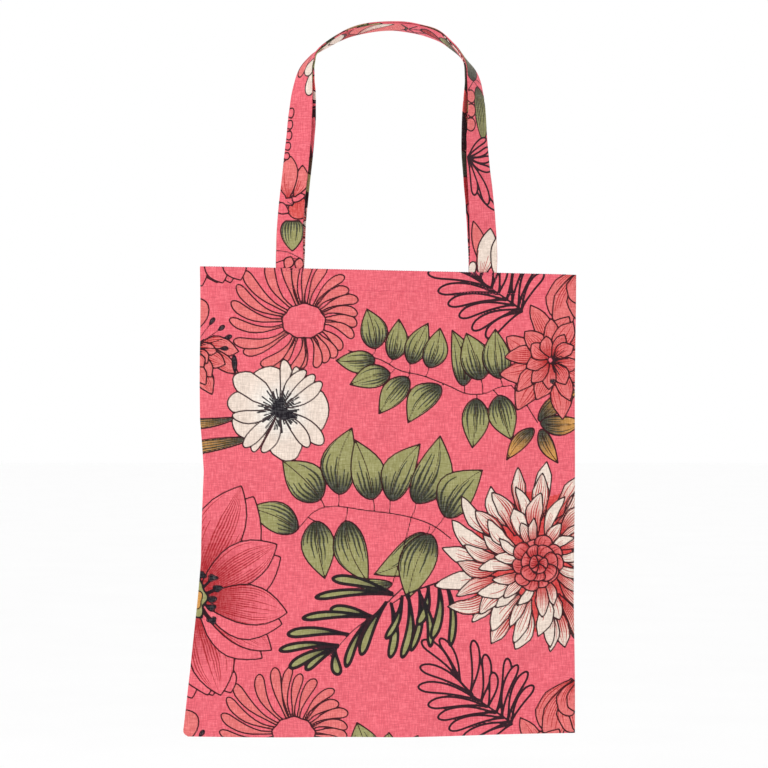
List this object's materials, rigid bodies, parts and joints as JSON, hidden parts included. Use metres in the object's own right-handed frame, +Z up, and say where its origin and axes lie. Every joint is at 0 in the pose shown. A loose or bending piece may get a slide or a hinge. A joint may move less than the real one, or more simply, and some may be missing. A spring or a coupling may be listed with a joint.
{
  "type": "foldable tote bag",
  "caption": "Flat cotton tote bag that folds across its width, with a hemmed open mouth and long fabric strap handles for carrying by hand or on the shoulder.",
  "frame": {"origin": "the point under the middle of the two handles where a hook or a hand holds the bag", "axes": "+Z up, -Y out of the printed front, +X to the right seen from the front"},
  "size_m": [0.3929, 0.0288, 0.7157],
  "materials": {
    "cotton": "matte plain weave with an all-over floral print",
    "strap_cotton": "matte plain weave, folded tape, same print",
    "thread": "polyester sewing thread, slight sheen"
  },
  "bodies": {
    "bag": {"front_panel_upper": "cotton", "back_panel_upper": "cotton", "left_side_seam_upper": "cotton", "right_side_seam_upper": "cotton", "left_seam_thread_upper": "thread", "right_seam_thread_upper": "thread", "front_hem_facing": "cotton", "back_hem_facing": "cotton", "front_hem_stitching": "thread", "back_hem_stitching": "thread", "front_left_strap_end": "strap_cotton", "front_right_strap_end": "strap_cotton", "back_left_strap_end": "strap_cotton", "back_right_strap_end": "strap_cotton", "front_left_box_stitch": "thread", "front_right_box_stitch": "thread", "back_left_box_stitch": "thread", "back_right_box_stitch": "thread"},
    "middle_row": {"front_panel_middle": "cotton", "back_panel_middle": "cotton", "left_side_seam_middle": "cotton", "right_side_seam_middle": "cotton", "left_seam_thread_middle": "thread", "right_seam_thread_middle": "thread"},
    "lower_row": {"front_panel_lower": "cotton", "back_panel_lower": "cotton", "left_side_seam_lower": "cotton", "right_side_seam_lower": "cotton", "left_seam_thread_lower": "thread", "right_seam_thread_lower": "thread", "base_seam": "cotton", "base_seam_thread": "thread"},
    "front_strap": {"front_handle": "strap_cotton"},
    "back_strap": {"back_handle": "strap_cotton"}
  },
  "joints": [
    {"name": "front_handle_swing", "type": "hinge", "parent": "bag", "child": "front_strap", "pos_m": [0, -0.0055, -0.2427], "axis": [1, 0, 0], "range_deg": [0, 155]},
    {"name": "back_handle_swing", "type": "hinge", "parent": "bag", "child": "back_strap", "pos_m": [0, 0.0055, -0.2427], "axis": [-1, 0, 0], "range_deg": [0, 155]},
    {"name": "upper_fold", "type": "hinge", "parent": "bag", "child": "middle_row", "pos_m": [0, -0.008, -0.4987], "axis": [-1, 0, 0], "range_deg": [0, 180]},
    {"name": "lower_fold", "type": "hinge", "parent": "middle_row", "child": "lower_row", "pos_m": [0, 0.008, -0.6022], "axis": [1, 0, 0], "range_deg": [0, 180]}
  ]
}
